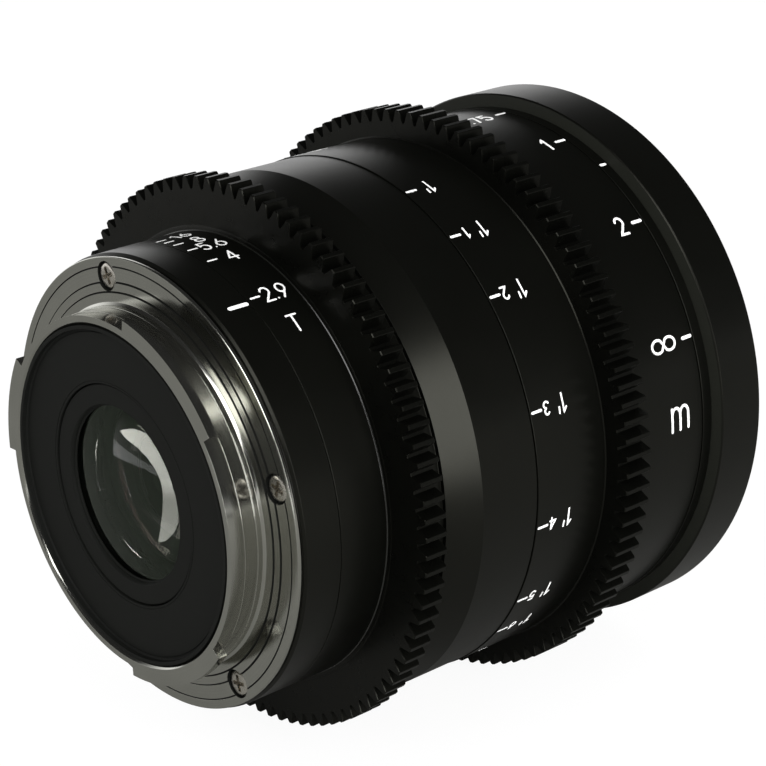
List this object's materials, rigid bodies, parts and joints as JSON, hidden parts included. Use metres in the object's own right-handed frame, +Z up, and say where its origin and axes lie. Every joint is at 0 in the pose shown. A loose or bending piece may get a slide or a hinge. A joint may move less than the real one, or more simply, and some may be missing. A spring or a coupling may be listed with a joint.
{
  "type": "cinema prime lens",
  "caption": "Manual cinema prime lens with geared iris and focus rings, a bayonet mount at the rear and a filter thread at the front.",
  "frame": {"origin": "centre of the mount's seating face, on the optical axis", "axes": "+Y along the optical axis from the mount to the front, +Z up, +X to the right seen from behind"},
  "size_m": [0.0864, 0.0851, 0.0864],
  "materials": {
    "black_anodised": "satin black anodised",
    "black_matte": "matte black",
    "mount_chrome": "chromed brass, turned",
    "steel": "satin",
    "brass": "turned",
    "coated_glass": "anti-reflection coated"
  },
  "bodies": {
    "barrel": {"bayonet_mount": "mount_chrome", "bayonet_sleeve": "mount_chrome", "mount_screws": "steel", "mount_shim": "brass", "rear_baffle": "black_matte", "rear_retainer": "black_matte", "rear_cell": "black_matte", "rear_element": "coated_glass", "rear_spacer": "black_matte", "rear_inner_element": "coated_glass", "rear_barrel": "black_anodised", "main_tube": "black_matte", "mid_barrel": "black_anodised", "iris_plate": "black_matte", "iris_retainer": "black_matte", "index_band": "black_anodised", "front_ring": "black_anodised", "front_cell": "black_matte", "second_element": "coated_glass", "second_retainer": "black_matte", "front_element": "coated_glass", "front_retainer": "black_matte"},
    "iris_ring": {"iris_ring": "black_anodised", "iris_gear": "black_anodised", "iris_drive_pin": "steel", "iris_cam_ring": "steel"},
    "focus_ring": {"focus_ring": "black_anodised", "focus_gear": "black_anodised", "focus_helicoid": "brass"},
    "focus_group": {"focus_cell": "black_matte", "focus_drive_key": "steel", "focus_guide_pins": "steel", "focus_rear_element": "coated_glass", "focus_spacer": "black_matte", "focus_front_element": "coated_glass", "focus_retainer": "black_matte"},
    "iris_blade_1": {"iris_blade_1": "steel"},
    "iris_blade_2": {"iris_blade_2": "steel"},
    "iris_blade_3": {"iris_blade_3": "steel"},
    "iris_blade_4": {"iris_blade_4": "steel"},
    "iris_blade_5": {"iris_blade_5": "steel"}
  },
  "joints": [
    {"name": "iris_turn", "type": "hinge", "parent": "barrel", "child": "iris_ring", "pos_m": [0, 0.0109, 0], "axis": [0, 1, 0], "range_deg": [0, 50]},
    {"name": "focus_turn", "type": "hinge", "parent": "barrel", "child": "focus_ring", "pos_m": [0, 0.052, 0], "axis": [0, 1, 0], "range_deg": [-42, 225]},
    {"name": "focus_slide", "type": "slide", "parent": "barrel", "child": "focus_group", "axis": [0, 1, 0], "range_m": [-0.00063, 0.00337]},
    {"name": "blade_1_turn", "type": "hinge", "parent": "barrel", "child": "iris_blade_1", "pos_m": [0.017, 0.01135, 0], "axis": [0, 1, 0], "range_deg": [0, 27.91]},
    {"name": "blade_2_turn", "type": "hinge", "parent": "barrel", "child": "iris_blade_2", "pos_m": [0.00525, 0.01135, -0.01617], "axis": [0, 1, 0], "range_deg": [0, 27.91]},
    {"name": "blade_3_turn", "type": "hinge", "parent": "barrel", "child": "iris_blade_3", "pos_m": [-0.01375, 0.01135, -0.00999], "axis": [0, 1, 0], "range_deg": [0, 27.91]},
    {"name": "blade_4_turn", "type": "hinge", "parent": "barrel", "child": "iris_blade_4", "pos_m": [-0.01375, 0.01135, 0.00999], "axis": [0, 1, 0], "range_deg": [0, 27.91]},
    {"name": "blade_5_turn", "type": "hinge", "parent": "barrel", "child": "iris_blade_5", "pos_m": [0.00525, 0.01135, 0.01617], "axis": [0, 1, 0], "range_deg": [0, 27.91]}
  ],
  "couplings": [
    {"joint": "focus_slide", "follows": "focus_turn", "m_per_rad": 0.00085836},
    {"joint": "blade_1_turn", "follows": "iris_turn", "ratio": 0.55824},
    {"joint": "blade_2_turn", "follows": "iris_turn", "ratio": 0.55824},
    {"joint": "blade_3_turn", "follows": "iris_turn", "ratio": 0.55824},
    {"joint": "blade_4_turn", "follows": "iris_turn", "ratio": 0.55824},
    {"joint": "blade_5_turn", "follows": "iris_turn", "ratio": 0.55824}
  ]
}
